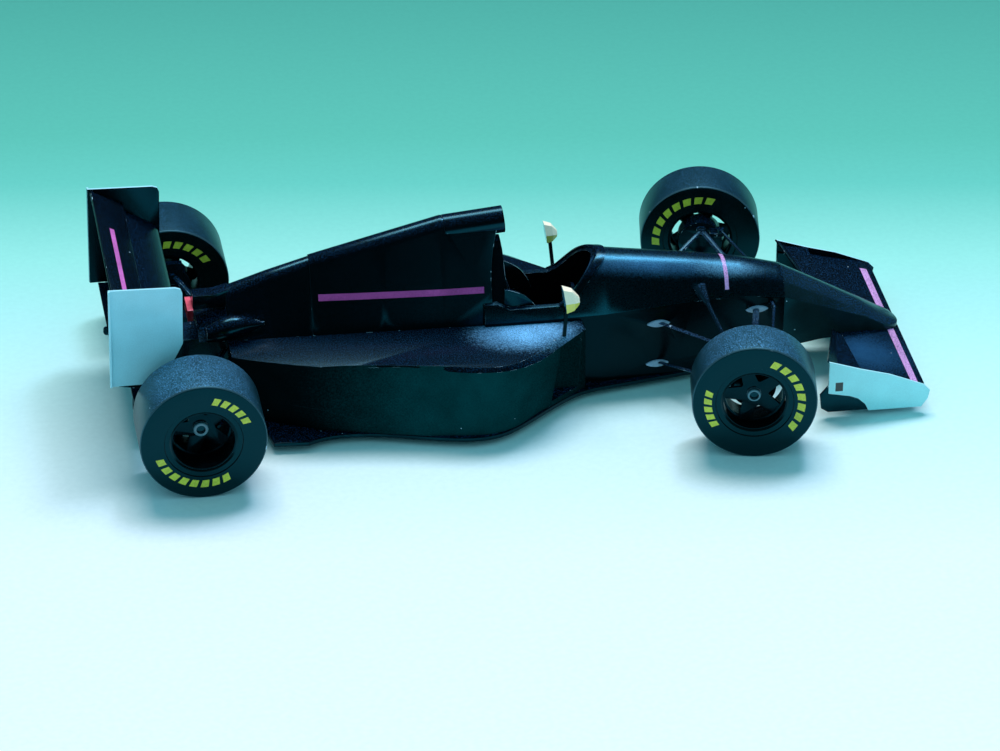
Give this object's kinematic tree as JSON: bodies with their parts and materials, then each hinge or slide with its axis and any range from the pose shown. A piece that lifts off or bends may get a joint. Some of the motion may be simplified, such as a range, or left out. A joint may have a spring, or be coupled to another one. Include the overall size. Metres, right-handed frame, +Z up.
{
  "type": "card model of an open wheel racing car",
  "caption": "Small card model of a black single-seat racing car with exposed wheels that spin and steer, wings at both ends, sidepods, a roll hoop intake and an open cockpit.",
  "frame": {"origin": "on the ground below the middle of the car's length, on its centre line", "axes": "+X forward to the nose, +Y to the car's left, +Z up"},
  "size_m": [0.1808, 0.0878, 0.0432],
  "materials": {
    "card_black": "satin",
    "card_pale": "satin",
    "card_grey": "satin",
    "card_yellow": "satin",
    "card_red": "satin",
    "card_tyre": "satin",
    "card_rim": "satin",
    "card_seat": "matt"
  },
  "bodies": {
    "car": {"monocoque": "card_black", "nose_cone": "card_black", "windscreen": "card_black", "sidepod_left": "card_black", "sidepod_right": "card_black", "engine_cover": "card_black", "rear_cover": "card_black", "airbox": "card_black", "floor": "card_black", "diffuser": "card_black", "front_wing_plane": "card_black", "front_flaps": "card_black", "front_fences": "card_black", "rear_wing_main": "card_black", "rear_wing_flap": "card_black", "rear_wing_beam": "card_black", "headrest": "card_black", "front_end_plates": "card_pale", "rear_end_plates": "card_pale", "gearbox": "card_grey", "front_wishbones_left": "card_grey", "front_wishbones_right": "card_grey", "rear_wishbones_left": "card_grey", "rear_wishbones_right": "card_grey", "front_pushrods": "card_grey", "driveshafts": "card_grey", "mirror_posts": "card_grey", "rear_uprights": "card_grey", "mirrors": "card_yellow", "tail_light": "card_red", "seat": "card_seat", "steering_wheel": "card_seat"},
    "knuckle_left": {"front_upright_left": "card_grey"},
    "knuckle_right": {"front_upright_right": "card_grey"},
    "rack": {"steering_rack": "card_grey"},
    "front_wheel_left": {"front_tyre_left": "card_tyre", "front_rim_left": "card_rim"},
    "front_wheel_right": {"front_tyre_right": "card_tyre", "front_rim_right": "card_rim"},
    "rear_wheel_left": {"rear_tyre_left": "card_tyre", "rear_rim_left": "card_rim"},
    "rear_wheel_right": {"rear_tyre_right": "card_tyre", "rear_rim_right": "card_rim"}
  },
  "joints": [
    {"name": "steering_left", "type": "hinge", "parent": "car", "child": "knuckle_left", "pos_m": [0.04975, 0.029, 0.01365], "axis": [0, 0, 1], "range_deg": [-9, 27]},
    {"name": "steering_right", "type": "hinge", "parent": "car", "child": "knuckle_right", "pos_m": [0.04975, -0.029, 0.01365], "axis": [0, 0, 1], "range_deg": [-9, 27]},
    {"name": "rack_slide", "type": "slide", "parent": "car", "child": "rack", "axis": [0, 1, 0], "range_m": [-0.00065, 0.00195]},
    {"name": "front_wheel_left_spin", "type": "hinge", "parent": "knuckle_left", "child": "front_wheel_left", "pos_m": [0.05097, 0.0367, 0.01365], "axis": [0.1564, 0.9877, 0], "continuous": true},
    {"name": "front_wheel_right_spin", "type": "hinge", "parent": "knuckle_right", "child": "front_wheel_right", "pos_m": [0.04853, -0.0367, 0.01365], "axis": [0.1564, 0.9877, 0], "continuous": true},
    {"name": "rear_wheel_left_spin", "type": "hinge", "parent": "car", "child": "rear_wheel_left", "pos_m": [-0.07225, 0.0347, 0.01375], "axis": [0, 1, 0], "continuous": true},
    {"name": "rear_wheel_right_spin", "type": "hinge", "parent": "car", "child": "rear_wheel_right", "pos_m": [-0.07225, -0.0347, 0.01375], "axis": [0, 1, 0], "continuous": true}
  ],
  "couplings": [
    {"joint": "steering_right", "follows": "steering_left", "ratio": 1},
    {"joint": "rack_slide", "follows": "steering_left", "m_per_rad": 0.004131}
  ]
}
